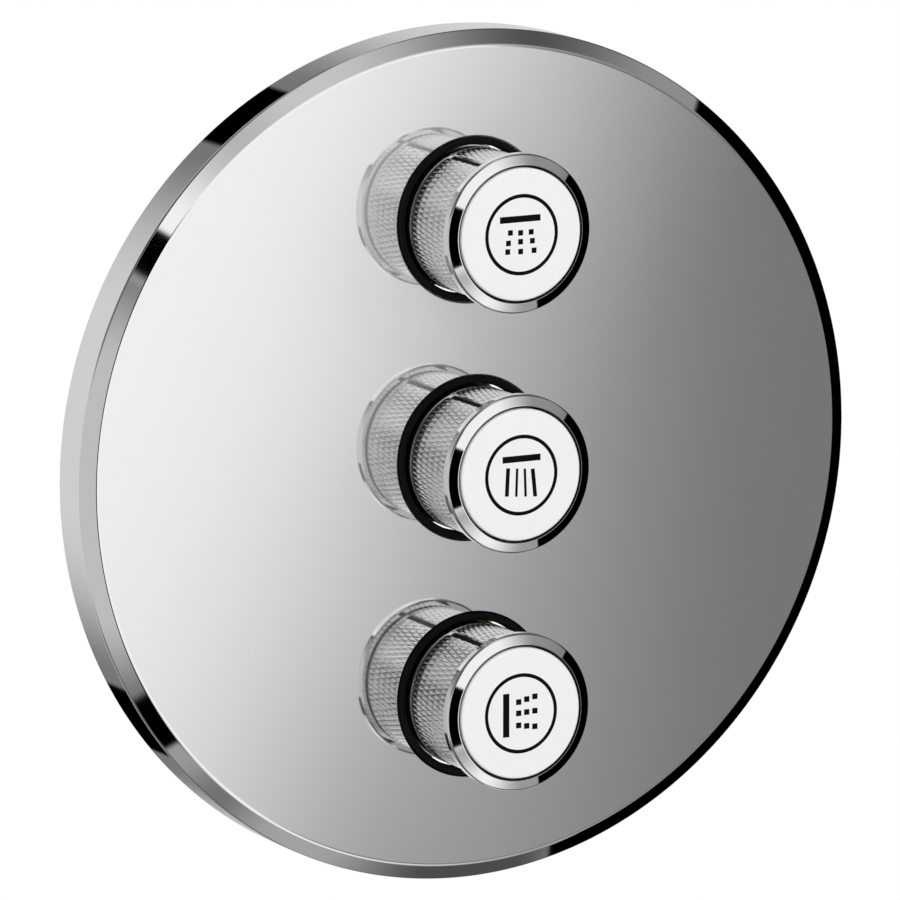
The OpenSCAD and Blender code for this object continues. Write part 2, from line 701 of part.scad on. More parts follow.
// Hexagonal nut that clamps the insert and traps the spindle's collar
module gland_nut() {
    color([0.76, 0.61, 0.33]) difference() {
        union() {
            translate([0, 0, thread_z]) cylinder(d = nut_thread_d, h = nut_thread_h + 1);
            intersection() {
                hexagon(nut_af, tower_z, nut_top - tower_z);
                translate([0, 0, tower_z])
                    cylinder(d1 = nut_af * 1.4, d2 = nut_af * 1.06, h = nut_top - tower_z);
            }
        }
        translate([0, 0, thread_z - 1])
            cylinder(r = neck_r + fit_gap, h = collar_top + fit_gap * 2 - thread_z + 1);
        translate([0, 0, thread_z]) cylinder(r = spindle_r + fit_gap * 3, h = nut_top - thread_z + 1);
    }
}

// Valve insert: a ported barrel with seal grooves, a shoulder and a neck for the spindle
module insert() {
    groove_r = insert_bore_r - ring_seal_d - fit_gap / 2;
    color([0.88, 0.87, 0.84]) difference() {
        union() {
            translate([0, 0, insert_z]) cylinder(r = insert_r, h = insert_h + eps);
            translate([0, 0, step_z]) cylinder(r = shoulder_r, h = shoulder_h);
            translate([0, 0, thread_z - eps]) cylinder(r = neck_r, h = neck_top - thread_z + eps);
        }
        for (z = SEAL_Z)
            ring(insert_r + 1, groove_r, z, ring_seal_d + free_gap);
        for (a = [0:90:270]) rotate([0, 0, a])
            bar(insert_r - window_depth, insert_r + 1, 0, window_w, insert_z + window_low, window_h);
        hexagon(foot_af + fit_gap * 2, chamber_z, socket_z - chamber_z + 1);
        translate([0, 0, socket_z]) cylinder(r = socket_r, h = neck_top - socket_z + 1);
    }
}

// Two ring seals on the insert's barrel
module insert_seals() {
    mid_r = insert_bore_r - ring_seal_d / 2 - fit_gap / 4;
    color([0.08, 0.08, 0.08]) for (z = SEAL_Z)
        rotate_extrude() translate([mid_r, z + free_gap / 2 + ring_seal_d / 2])
            circle(d = ring_seal_d, $fn = 32);
}

escutcheon();
wall_gasket();
carrier();
carrier_screws();
carrier_spacers();
valve_block();
rail_plugs();
port_seals();
for (i = [0:2]) {
    at_row(i) lip_seal();
    at_row(i) grip();
    at_row(i) grip_hub();
    at_row(i) button();
    at_row(i) plunger();
    at_row(i) return_spring();
    at_row(i) spindle();
    at_row(i) clip();
    at_row(i) gland_nut();
    at_row(i) insert();
    at_row(i) insert_seals();
}
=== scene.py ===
import math

import bmesh
import bpy
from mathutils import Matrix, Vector


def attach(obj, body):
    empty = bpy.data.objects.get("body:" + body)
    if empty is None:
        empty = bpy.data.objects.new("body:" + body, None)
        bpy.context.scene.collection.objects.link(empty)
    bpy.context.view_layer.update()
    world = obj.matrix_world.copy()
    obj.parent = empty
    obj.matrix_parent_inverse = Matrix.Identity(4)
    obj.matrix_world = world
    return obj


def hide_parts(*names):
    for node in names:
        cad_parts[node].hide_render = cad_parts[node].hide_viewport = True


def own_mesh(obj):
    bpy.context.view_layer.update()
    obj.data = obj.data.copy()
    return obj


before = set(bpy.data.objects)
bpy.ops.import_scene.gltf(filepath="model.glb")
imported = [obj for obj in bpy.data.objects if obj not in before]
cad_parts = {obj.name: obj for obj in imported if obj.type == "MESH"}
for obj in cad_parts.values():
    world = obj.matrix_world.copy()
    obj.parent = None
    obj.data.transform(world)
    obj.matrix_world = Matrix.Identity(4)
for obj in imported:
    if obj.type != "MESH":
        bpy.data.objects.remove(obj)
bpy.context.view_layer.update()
rows = {"top": 44.2, "middle": 0.0, "bottom": -44.2}
mm = 0.001
print("stage: frame loaded")


# One shader value; operators add Math or Vector Math nodes, and add() adds any other node.
class Wire:
    def __init__(self, tree, socket=None):
        self.tree = tree
        self.socket = socket

    def add(self, kind, settings=None, inputs=None, output=0):
        node = self.tree.nodes.new("ShaderNode" + kind)
        for key, value in (settings or {}).items():
            setattr(node, key, value)
        for key, value in (inputs or {}).items():
            if isinstance(value, Wire):
                self.tree.links.new(value.socket, node.inputs[key])
            else:
                node.inputs[key].default_value = value
        return Wire(self.tree, node.outputs[output]) if len(node.outputs) else None

    def isVector(self):
        return self.socket.type in ("VECTOR", "RGBA")

    def maths(self, operation, *values):
        vector = any(isinstance(v, tuple) or (isinstance(v, Wire) and v.isVector()) for v in values)
        kind = "VectorMath" if vector else "Math"
        fitted = [(v, v, v) if vector and isinstance(v, (int, float)) else v for v in values]
        return self.add(kind, {"operation": operation}, dict(enumerate(fitted)))

    def __add__(self, other):
        return self.maths("ADD", self, other)

    def __radd__(self, other):
        return self.maths("ADD", other, self)

    def __sub__(self, other):
        return self.maths("SUBTRACT", self, other)

    def __rsub__(self, other):
        return self.maths("SUBTRACT", other, self)

    def __mul__(self, other):
        return self.maths("MULTIPLY", self, other)

    def __rmul__(self, other):
        return self.maths("MULTIPLY", other, self)

    def __neg__(self):
        return self.maths("MULTIPLY", self, -1.0)

    def above(self, low, high):
        return self.add("MapRange", {"interpolation_type": "SMOOTHSTEP"},
                        {"Value": self, "From Min": low, "From Max": high, "To Min": 0.0, "To Max": 1.0})

    def below(self, low, high):
        return self.add("MapRange", {"interpolation_type": "SMOOTHSTEP"},
                        {"Value": self, "From Min": low, "From Max": high, "To Min": 1.0, "To Max": 0.0})

    def between(self, low, high, soft):
        return self.above(low - soft, low + soft) * self.below(high - soft, high + soft)

    def blend(self, other, factor):
        if self.isVector():
            return self.add("Mix", {"data_type": "RGBA"}, {0: factor, 6: self, 7: other}, 2)
        return self.add("Mix", {}, {0: factor, 2: self, 3: other})

    def parts(self):
        split = self.tree.nodes.new("ShaderNodeSeparateXYZ")
        self.tree.links.new(self.socket, split.inputs[0])
        return [Wire(self.tree, out) for out in split.outputs]

    def length(self):
        return self.add("VectorMath", {"operation": "LENGTH"}, {0: self}, 1)


# A material whose surface is one Principled shader; build() returns the varying inputs.
def surface(name, fixed, build):
    material = bpy.data.materials.new(name)
    material.use_nodes = True
    tree = material.node_tree
    tree.nodes.clear()
    start = Wire(tree)
    place = start.add("TexCoord", output=3)
    inputs = dict(fixed)
    inputs.update(build(start, place))
    shader = start.add("BsdfPrincipled", {}, inputs)
    start.add("OutputMaterial", {}, {"Surface": shader})
    return material


def grey(level):
    return (level, level, level, 1.0)


def noise(wire, place, scale, detail=3.0, output=0):
    return wire.add("TexNoise", {}, {"Vector": place, "Scale": scale, "Detail": detail}, output)


def bump(wire, height, distance, strength=1.0):
    return wire.add("Bump", {}, {"Height": height, "Distance": distance, "Strength": strength})


# One tone as a grey, or three as a colour
def tinted(wire, red, green=None, blue=None):
    return wire.add("CombineColor", {}, {0: red, 1: green or red, 2: blue or red})


# Noise drawn out round the axis, as fine lines left by turning
def turningLines(wire, place, along, across):
    x, y, z = place.parts()
    return noise(wire, wire.add("CombineXYZ", {}, {0: y * along, 1: x * across, 2: z * across}), 1.0, 2.0)


# The plate's flat face: bright and crisp, with painted light at the left that is strongest at the top: less
# metal there, so that the face and its reflections render paler
faceFinish = {
    "colour": 0.867, "uneven": 0.006, "cloud": 90.0, "wipes": (260.0, 40.0, 60.0), "rough": 0.045,
    "streak": 0.012, "paintedPale": 0.45, "paintedPaleRise": 0.6, "paintedPaleFrom": -0.03, "paintedPaleTo": 0.07,
}


def polishedFace(wire, place):
    s = faceFinish
    x, y, z = place.parts()
    # Painted light: less metal towards the upper left, so that side of the face renders paler
    paintedPale = (z * s["paintedPaleRise"] - x).above(s["paintedPaleFrom"], s["paintedPaleTo"])
    cloud = noise(wire, place, s["cloud"])
    wiped = noise(wire, place * s["wipes"], 1.0, 2.0)
    rough = (cloud - 0.5) * s["streak"] + (wiped - 0.5) * s["streak"] + s["rough"]
    return {"Base Color": tinted(wire, cloud * s["uneven"] + s["colour"]), "Roughness": rough,
            "Metallic": 1.0 - paintedPale * s["paintedPale"]}


rimFinish = {"colour": 0.867, "uneven": 0.006, "cloud": 120.0, "rough": 0.025, "roughUneven": 0.01}


def polishedRim(wire, place):
    s = rimFinish
    cloud = noise(wire, place, s["cloud"])
    return {"Base Color": tinted(wire, cloud * s["uneven"] + s["colour"]),
            "Roughness": cloud * s["roughUneven"] + s["rough"]}


# Satin on the knurl and mirror bright on the bezel, which starts at bezelFrom in millimetres along Y
sleeveFinish = {
    "colour": 0.85, "uneven": 0.02, "cloud": 300.0, "rough": 0.2, "turned": 0.03, "along": 9000.0,
    "across": 20.0, "bezelRough": 0.025, "bezelUneven": 0.01, "bezelFrom": -72.3, "bezelTo": -72.5,
}


def turnedSleeve(wire, place):
    s = sleeveFinish
    x, y, z = place.parts()
    cloud = noise(wire, place, s["cloud"])
    lines = turningLines(wire, place, s["along"], s["across"])
    rough = (lines - 0.5 + cloud - 0.5) * s["turned"] + s["rough"]
    bezel = (y * (1 / mm)).below(s["bezelTo"], s["bezelFrom"])
    return {"Base Color": tinted(wire, cloud * s["uneven"] + s["colour"]),
            "Roughness": rough.blend(cloud * s["bezelUneven"] + s["bezelRough"], bezel)}


buttonFinish = {
    "colour": 0.86, "uneven": 0.015, "cloud": 160.0, "rough": 0.42, "roughUneven": 0.06, "grain": 2600.0,
    "depth": 0.00001, "bump": 0.25,
}


def satinWhite(wire, place):
    s = buttonFinish
    grain = noise(wire, place, s["grain"], 2.0)
    cloud = noise(wire, place, s["cloud"])
    return {"Base Color": tinted(wire, (cloud - 0.5) * s["uneven"] + s["colour"]),
            "Roughness": (cloud - 0.5) * s["roughUneven"] + s["rough"],
            "Normal": bump(wire, grain, s["depth"], s["bump"])}


paintFinish = {
    "tone": 0.002, "uneven": 0.003, "grain": 3000.0, "rough": 0.4, "roughUneven": 0.2, "depth": 0.00001,
    "bump": 0.4,
}


def blackPaint(wire, place):
    s = paintFinish
    grain = noise(wire, place, s["grain"], 2.0)
    return {"Base Color": tinted(wire, grain * s["uneven"] + s["tone"]),
            "Roughness": grain * s["roughUneven"] + s["rough"],
            "Normal": bump(wire, grain, s["depth"], s["bump"])}


rubberFinish = {
    "tone": 0.003, "uneven": 0.004, "bloom": 120.0, "grain": 1800.0, "rough": 0.5, "roughUneven": 0.15,
    "depth": 0.00002, "bump": 0.5,
}


def rubber(wire, place):
    s = rubberFinish
    grain = noise(wire, place, s["grain"], 4.0)
    bloom = noise(wire, place, s["bloom"])
    return {"Base Color": tinted(wire, bloom * s["uneven"] + s["tone"]),
            "Roughness": grain * s["roughUneven"] + s["rough"],
            "Normal": bump(wire, grain, s["depth"], s["bump"])}


# Closed cells with thin walls, a little bluer than grey
foamFinish = {
    "cells": 1400.0, "wallFrom": 0.02, "wallTo": 0.2, "tone": 0.085, "hollow": 0.03, "blue": 1.04,
    "rough": 0.9, "smoother": 0.1, "depth": 0.0002, "bump": 0.8,
}


def foam(wire, place):
    s = foamFinish
    cells = wire.add("TexVoronoi", {"feature": "DISTANCE_TO_EDGE"}, {"Vector": place, "Scale": s["cells"]})
    hollow = cells.above(s["wallFrom"], s["wallTo"])
    tone = hollow * -s["hollow"] + s["tone"]
    return {"Base Color": tinted(wire, tone, tone, tone * s["blue"]),
            "Roughness": s["rough"] - hollow * s["smoother"],
            "Normal": bump(wire, cells, s["depth"], s["bump"])}


darkFinish = {
    "grain": 2200.0, "flow": 60.0, "tone": 0.035, "uneven": 0.02, "blue": 1.05, "rough": 0.38,
    "roughUneven": 0.15, "depth": 0.00003, "bump": 0.5,
}


def darkPlastic(wire, place):
    s = darkFinish
    grain = wire.add("TexVoronoi", {}, {"Vector": place, "Scale": s["grain"]})
    flow = noise(wire, place, s["flow"])
    tone = flow * s["uneven"] + s["tone"]
    return {"Base Color": tinted(wire, tone, tone, tone * s["blue"]),
            "Roughness": flow * s["roughUneven"] + s["rough"],
            "Normal": bump(wire, grain, s["depth"], s["bump"])}


paleFinish = {
    "grain": 2400.0, "flow": 90.0, "tone": 0.66, "uneven": 0.05, "green": 0.985, "blue": 0.94, "rough": 0.35,
    "roughUneven": 0.15, "depth": 0.00002, "bump": 0.4,
}


def palePlastic(wire, place):
    s = paleFinish
    grain = noise(wire, place, s["grain"])
    flow = noise(wire, place, s["flow"])
    tone = flow * s["uneven"] + s["tone"]
    return {"Base Color": tinted(wire, tone, tone * s["green"], tone * s["blue"]),
            "Roughness": flow * s["roughUneven"] + s["rough"],
            "Normal": bump(wire, grain, s["depth"], s["bump"])}


# Cast skin with fine pits and a slow tarnish
castFinish = {
    "sand": 900.0, "tarnish": 45.0, "clean": (0.66, 0.52, 0.27), "darker": (0.12, 0.14, 0.12), "rough": 0.25,
    "roughUneven": 0.25, "depth": 0.00015, "bump": 0.6,
}


def castBrass(wire, place):
    s = castFinish
    sand = noise(wire, place, s["sand"], 5.0)
    tarnish = noise(wire, place, s["tarnish"], 4.0)
    colour = [tarnish * -darker + clean for clean, darker in zip(s["clean"], s["darker"])]
    return {"Base Color": tinted(wire, *colour), "Roughness": sand * s["roughUneven"] + s["rough"],
            "Normal": bump(wire, sand, s["depth"], s["bump"])}


turnedFinish = {
    "along": 7000.0, "across": 30.0, "cloud": 120.0, "clean": (0.80, 0.64, 0.35),
    "darker": (0.06, 0.07, 0.07), "rough": 0.16, "roughUneven": 0.15, "depth": 0.00001, "bump": 0.4,
}


def turnedBrass(wire, place):
    s = turnedFinish
    lines = turningLines(wire, place, s["along"], s["across"])
    cloud = noise(wire, place, s["cloud"])
    colour = [cloud * -darker + clean for clean, darker in zip(s["clean"], s["darker"])]
    return {"Base Color": tinted(wire, *colour), "Roughness": lines * s["roughUneven"] + s["rough"],
            "Normal": bump(wire, lines, s["depth"], s["bump"])}


steelFinish = {
    "along": 5000.0, "across": 60.0, "cloud": 220.0, "tone": 0.55, "uneven": 0.06, "blue": 1.01, "rough": 0.2,
    "roughUneven": 0.18, "depth": 0.00001, "bump": 0.4,
}


def drawnSteel(wire, place):
    s = steelFinish
    lines = turningLines(wire, place, s["along"], s["across"])
    cloud = noise(wire, place, s["cloud"])
    tone = cloud * s["uneven"] + s["tone"]
    return {"Base Color": tinted(wire, tone, tone, tone * s["blue"]),
            "Roughness": lines * s["roughUneven"] + s["rough"],
            "Normal": bump(wire, lines, s["depth"], s["bump"])}


metal = {"Metallic": 1.0}
plastic = {"Metallic": 0.0, "IOR": 1.49}


# Fixed inputs of a plastic whose shine is weaker than its index of refraction gives
def dull(level):
    return dict(plastic, **{"Specular IOR Level": level})


finishes = {
    "polishedFace": surface("polished_face", {}, polishedFace),
    "polishedRim": surface("polished_rim", metal, polishedRim),
    "turnedSleeve": surface("turned_sleeve", metal, turnedSleeve),
    "satinWhite": surface("satin_white", dull(0.35), satinWhite),
    "blackPaint": surface("black_paint", dull(0.06), blackPaint),
    "rubber": surface("black_rubber", dull(0.1), rubber),
    "foam": surface("grey_foam", dull(0.1), foam),
    "darkPlastic": surface("dark_plastic", plastic, darkPlastic),
    "palePlastic": surface("pale_plastic", plastic, palePlastic),
    "castBrass": surface("cast_brass", metal, castBrass),
    "turnedBrass": surface("turned_brass", metal, turnedBrass),
    "drawnSteel": surface("drawn_steel", metal, drawnSteel),
}
print("stage: finishes made")


# An arc in steps, from one angle to another.
def arc(cx, cy, radius, startDeg, endDeg, steps):
    points = []
    for i in range(steps + 1):
        a = math.radians(startDeg + (endDeg - startDeg) * i / steps)
        points.append((cx + radius * math.cos(a), cy + radius * math.sin(a)))
    return points


# Rounds the corner p between a and b with a radius.
def rounded(p, a, b, radius, steps):
    va, vb = Vector(a) - Vector(p), Vector(b) - Vector(p)
    va.normalize()
    vb.normalize()
    half = va.angle(vb) / 2
    centre = Vector(p) + (va + vb).normalized() * (radius / math.sin(half))
    first = Vector(p) + va * (radius / math.tan(half)) - centre
    last = Vector(p) + vb * (radius / math.tan(half)) - centre
    turn = first.angle_signed(last)
    start = math.atan2(first.y, first.x)
    return [(centre.x + radius * math.cos(start - turn * i / steps),
             centre.y + radius * math.sin(start - turn * i / steps)) for i in range(steps + 1)]


# Adds a point close to both ends of each long straight, so that its reflections stay flat.
def held(points, gap=0.03, longer=0.5):
    result = []
    for p, q in zip(points, points[1:]):
        result.append(p)
        length = math.dist(p, q)
        if length > longer:
            for t in (gap / length, 1 - gap / length):
                result.append((p[0] + (q[0] - p[0]) * t, p[1] + (q[1] - p[1]) * t))
    return result + [points[-1]]


# A point at a radius and an outward distance from the block's back, round the axis of one knob row.
def spot(radius, out, angle, rowZ=0.0):
    return Vector((radius * math.cos(angle) * mm, -out * mm, (radius * math.sin(angle) + rowZ) * mm))


def finishMesh(bm, name, body, materials, replaced, sharpDeg=32.0, keepSharp=()):
    bmesh.ops.recalc_face_normals(bm, faces=bm.faces)
    kept = set(keepSharp)
    for edge in bm.edges:
        wide = len(edge.link_faces) == 2 and edge.calc_face_angle(0.0) > math.radians(sharpDeg)
        edge.smooth = not (wide or edge in kept)
    for face in bm.faces:
        face.smooth = True
    mesh = bpy.data.meshes.new(name)
    bm.to_mesh(mesh)
    bm.free()
    for material in materials:
        mesh.materials.append(material)
    piece = bpy.data.objects.new(name, mesh)
    bpy.context.scene.collection.objects.link(piece)
    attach(piece, body)
    if replaced:
        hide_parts(replaced)
    return piece


# Turns a closed outline of (radius, out) points round an axis; points on the axis become one vertex.
def lathe(bm, outline, columns, rowZ=0.0, startDeg=0.0, closed=True):
    rings = []
    for radius, out in outline:
        if radius < 1e-6:
            rings.append([bm.verts.new(spot(0.0, out, 0.0, rowZ))])
        else:
            angles = [math.radians(startDeg) + 2 * math.pi * i / columns for i in range(columns)]
            rings.append([bm.verts.new(spot(radius, out, angle, rowZ)) for angle in angles])
    pairs = list(zip(rings, rings[1:]))
    if closed:
        pairs.append((rings[-1], rings[0]))
    for low, high in pairs:
        if len(low) == 1 and len(high) == 1:
            continue
        for i in range(columns):
            j = (i + 1) % columns
            corners = [low[i % len(low)], low[j % len(low)], high[j % len(high)], high[i % len(high)]]
            unique = []
            for corner in corners:
                if corner not in unique:
                    unique.append(corner)
            bm.faces.new(unique)
    return rings


# The pressed and polished plate, with the hollow side that snaps on to the carrier
plate = {
    "radius": 79.0, "faceRadius": 76.1, "face": 56.4, "shoulder": 54.9, "skirt": 46.5, "inner": 54.8,
    "skirtIn": 77.4, "beadIn": 76.5, "bead": 47.5, "chamfer": 0.3, "edge": 0.45, "wall": 1.6,
    "holeRadius": 15.25, "columns": 720, "holeColumns": 192,
}


# The rim is turned, and the flat front and back are filled in between the rim and the three holes.
def makeFacePlate(s):
    c = s["chamfer"]
    bm = bmesh.new()
    crest = rounded((s["faceRadius"], s["face"]), (0.0, s["face"]), (s["radius"], s["shoulder"]),
                    s["edge"] * 3, 6)
    shoulder = rounded((s["radius"], s["shoulder"]), (s["faceRadius"], s["face"]), (s["radius"], s["skirt"]),
                       s["edge"], 8)
    outline = crest + shoulder + [
        (s["radius"], s["skirt"] + c), (s["radius"] - c, s["skirt"]), (s["beadIn"] + c, s["skirt"]),
        (s["beadIn"], s["skirt"] + c), (s["beadIn"], s["bead"] - c), (s["beadIn"] + c, s["bead"]),
        (s["skirtIn"], s["bead"]), (s["skirtIn"], s["shoulder"] - s["wall"] / 2),
        (s["faceRadius"] - s["wall"] / 2, s["inner"])]
    rings = lathe(bm, held(outline), s["columns"], closed=False)
    rimFaces = list(bm.faces)
    sharp = []
    loops = {"front": [rings[0]], "back": [rings[-1]]}
    for rowZ in rows.values():
        hole = [(s["holeRadius"] + c, s["face"]), (s["holeRadius"], s["face"] - c),
                (s["holeRadius"], s["inner"])]
        holeRings = lathe(bm, hole, s["holeColumns"], rowZ, closed=False)
        loops["front"].append(holeRings[0])
        loops["back"].append(holeRings[-1])
    for side in loops.values():
        edges = []
        for loop in side:
            for a, b in zip(loop, loop[1:] + loop[:1]):
                edges.append(bm.edges.get((a, b)))
        bmesh.ops.triangle_fill(bm, use_beauty=True, use_dissolve=False, edges=edges)
        sharp.extend(edges)
    for face in rimFaces:
        face.material_index = 1
    return finishMesh(bm, "face_plate", "wall_unit",
                      [finishes["polishedFace"], finishes["polishedRim"]], "escutcheon",
                      keepSharp=sharp)


makeFacePlate(plate)
print("stage: face plate made")


# The knurled sleeves that turn, each with its relief grooves, index groove and sloping bezel
sleeve = {
    "radius": 13.5, "bore": 12.35, "low": 54.4, "footTop": 57.7, "knurlLow": 58.3, "knurlTop": 71.95,
    "bezelLow": 72.55, "bezelFront": 75.25, "bezelDrop": 0.85, "bezelRadius": 14.65, "bezelEdge": 0.5,
    "relief": 0.4, "chamfer": 0.3, "ledgeIn": 11.35, "ledgeTop": 63.7, "ledge": 1.0,
    "columns": 656, "knurls": 82, "pitch": 4.4, "depth": 0.12, "groove": 0.36,
    "indexDeg": 113.0, "indexColumns": 5, "indexDepth": 0.5, "margin": 0.005, "leastStep": 0.3,
}


# Depth of the two crossing sets of grooves at one column and height
def knurlDepth(s, i, out):
    turn = i * s["knurls"] / s["columns"]
    along = (out - s["knurlLow"]) / s["pitch"]
    depths = []
    for t in (turn + along, turn - along):
        away = abs(t - round(t))
        depths.append(1.0 - min(1.0, away / s["groove"]))
    return s["depth"] * max(depths)


def makeSleeve(s, row):
    c, rowZ, n = s["chamfer"], rows[row], s["columns"]
    front, rim = (s["bore"], s["bezelFront"]), (s["bezelRadius"], s["bezelFront"] - s["bezelDrop"])
    neck = s["radius"] - s["relief"]
    upper = (rounded(front, (s["bore"], s["bezelLow"]), rim, c, 5)
             + rounded(rim, front, (s["bezelRadius"], s["bezelLow"]), s["bezelEdge"], 8)
             + [(s["bezelRadius"], s["bezelLow"] + c), (s["bezelRadius"] - c, s["bezelLow"]),
                (neck, s["bezelLow"]), (neck, s["knurlTop"])])
    lower = [(neck, s["knurlLow"]), (neck, s["footTop"]), (s["radius"], s["footTop"]),
             (s["radius"], s["low"] + c), (s["radius"] - c, s["low"]), (s["bore"] + c, s["low"]),
             (s["bore"], s["low"] + c), (s["bore"], s["ledgeTop"] - s["ledge"]),
             (s["ledgeIn"], s["ledgeTop"] - s["ledge"]), (s["ledgeIn"], s["ledgeTop"] - s["ledge"] / 2),
             (s["bore"], s["ledgeTop"])]
    bm = bmesh.new()
    upperRings = lathe(bm, held(upper), n, rowZ, s["indexDeg"], closed=False)
    lowerRings = lathe(bm, held(lower), n, rowZ, s["indexDeg"], closed=False)
    start = math.radians(s["indexDeg"])
    step = s["pitch"] * s["knurls"] / n
    heights = [s["knurlLow"] + step * j for j in range(int((s["knurlTop"] - s["knurlLow"]) / step) + 1)]
    if s["knurlTop"] - heights[-1] > step * s["leastStep"]:
        heights.append(s["knurlTop"])
    band, depth = [], []
    half = s["indexColumns"]
    for out in heights:
        line = [s["indexDepth"] if min(i, n - i) <= half else knurlDepth(s, i, out) for i in range(n)]
        depth.append(line)
        band.append([bm.verts.new(spot(s["radius"] - line[i], out, start + 2 * math.pi * i / n, rowZ))
                     for i in range(n)])
    painted = []
    for k in range(len(band) - 1):
        for i in range(n):
            j = (i + 1) % n
            a, b, c2, d = band[k][i], band[k][j], band[k + 1][j], band[k + 1][i]
            inIndex = min(i, n - i) <= half and min(j, n - j) <= half
            if abs(depth[k][i] - depth[k + 1][j]) <= abs(depth[k][j] - depth[k + 1][i]):
                faces = [bm.faces.new((a, b, c2)), bm.faces.new((a, c2, d))]
            else:
                faces = [bm.faces.new((a, b, d)), bm.faces.new((b, c2, d))]
            if inIndex:
                painted.extend(faces)
    # The bezel's rounded inner edge and the narrow parts inside are painted black too, as painted shade and
    # painted dark reflection for the line round the button.
    paintedShadeReach = (s["bore"] + c + s["margin"]) * mm
    for face in bm.faces:
        if max(math.hypot(v.co.x, v.co.z - rowZ * mm) for v in face.verts) < paintedShadeReach:
            painted.append(face)
    for face in painted:
        face.material_index = 1
    for low, high in ((upperRings[-1], band[-1]), (band[0], lowerRings[0]), (lowerRings[-1], upperRings[0])):
        for i in range(n):
            j = (i + 1) % n
            bm.faces.new((low[i], low[j], high[j], high[i]))
    return finishMesh(bm, "sleeve_" + row, "turn_ring_" + row,
                      [finishes["turnedSleeve"], finishes["blackPaint"]], "grip_" + row, sharpDeg=28.0)


for row in rows:
    makeSleeve(sleeve, row)
print("stage: sleeves made")


# The push buttons, with a ring line and a spray mark each
button = {
    "radius": 12.15, "face": 75.495, "edge": 0.5, "skirt": 67.5, "wall": 1.3, "cap": 74.0, "chamfer": 0.3,
    "ring": 7.1, "ringWidth": 0.7, "ringDepth": 0.15, "stem": 3.95, "stemEnd": 67.5, "pinHole": 2.08,
    "pinEnd": 73.3, "columns": 192,
}
# Paint that fills the ring groove with a small gap all round and stands just proud as the mark
ink = {"rise": 0.003, "sink": 0.05, "gap": 0.01, "below": 0.02}
# Each mark is a list of bars: centre across and up, width, height, and tilt in degrees.
marks = {
    "top": [(-0.3, 2.9, 8.3, 1.2, 0.0)] + [(x, z, 1.0, 1.0, 0.0) for x, z in (
        (-2.3, 0.5), (-0.22, 0.36), (1.95, 0.38), (-2.7, -1.39), (-0.22, -1.26), (2.2, -1.27),
        (-2.85, -2.96), (-0.21, -3.07), (2.55, -3.04))],
    "middle": [(0.04, 3.05, 7.8, 1.2, 0.0), (-2.85, -1.1, 0.8, 5.2, -3.0), (-0.95, -1.3, 0.5, 5.2, -2.0),
               (0.8, -1.45, 0.5, 5.2, 2.0), (2.6, -1.6, 0.8, 5.2, 6.0)],
    "bottom": [(-3.06, -0.14, 1.3, 8.1, 0.0)] + [(x, z, 1.1, 1.05, 0.0) for x, z in (
        (-0.48, 2.15), (-0.48, 0.06), (-0.48, -2.2), (1.18, 2.54), (1.18, 0.13), (1.18, -2.45),
        (2.86, 2.89), (2.86, 0.22), (2.86, -2.69))],
}


def makeButton(s, row):
    rowZ, c = rows[row], s["chamfer"]
    ringIn, ringOut = s["ring"] - s["ringWidth"] / 2, s["ring"] + s["ringWidth"] / 2
    floor = s["face"] - s["ringDepth"]
    outline = ([(0.0, s["face"]), (ringIn, s["face"]), (ringIn, floor), (ringOut, floor),
                (ringOut, s["face"])]
               + arc(s["radius"] - s["edge"], s["face"] - s["edge"], s["edge"], 90, 0, 8)
               + [(s["radius"], s["skirt"] + c), (s["radius"] - c, s["skirt"]),
                  (s["radius"] - s["wall"], s["skirt"]), (s["radius"] - s["wall"], s["cap"]),
                  (s["stem"], s["cap"]), (s["stem"], s["stemEnd"]), (s["pinHole"], s["stemEnd"]),
                  (s["pinHole"], s["pinEnd"]), (0.0, s["pinEnd"])])
    bm = bmesh.new()
    lathe(bm, outline, s["columns"], rowZ)
    finishMesh(bm, "push_button_" + row, "push_" + row, [finishes["satinWhite"]],
               "button_" + row)
    bm = bmesh.new()
    inner, outer = ringIn + ink["gap"], ringOut - ink["gap"]
    low, top = floor + ink["gap"], s["face"] - ink["below"]
    lathe(bm, [(inner, low), (inner, top), (outer, top), (outer, low)], s["columns"], rowZ)
    finishMesh(bm, "ring_line_" + row, "push_" + row, [finishes["blackPaint"]], None)


def makeMark(row):
    bm = bmesh.new()
    top, low = button["face"] + ink["rise"], button["face"] - ink["sink"]
    for x, z, width, height, tilt in marks[row]:
        a = math.radians(tilt)
        corners = []
        for u, v in ((-0.5, -0.5), (0.5, -0.5), (0.5, 0.5), (-0.5, 0.5)):
            px = x + u * width * math.cos(a) - v * height * math.sin(a)
            pz = z + u * width * math.sin(a) + v * height * math.cos(a)
            corners.append((px, pz + rows[row]))
        front = [bm.verts.new((px * mm, -top * mm, pz * mm)) for px, pz in corners]
        back = [bm.verts.new((px * mm, -low * mm, pz * mm)) for px, pz in corners]
        bm.faces.new(front)
        bm.faces.new(list(reversed(back)))
        for i in range(4):
            bm.faces.new((front[i], front[(i + 1) % 4], back[(i + 1) % 4], back[i]))
    finishMesh(bm, "spray_mark_" + row, "push_" + row, [finishes["blackPaint"]], None)


for row in rows:
    makeButton(button, row)
    makeMark(row)
print("stage: buttons made")


# The return springs, one in each insert, drawn at full length; they don't shorten here as the plunger's foot
# comes down on them
spring = {
    "coil": 3.0, "wire": 0.3, "low": 18.34, "high": 28.66, "seat": 18.0, "travel": 3.0, "turns": 6,
    "perTurn": 40, "sides": 12,
}


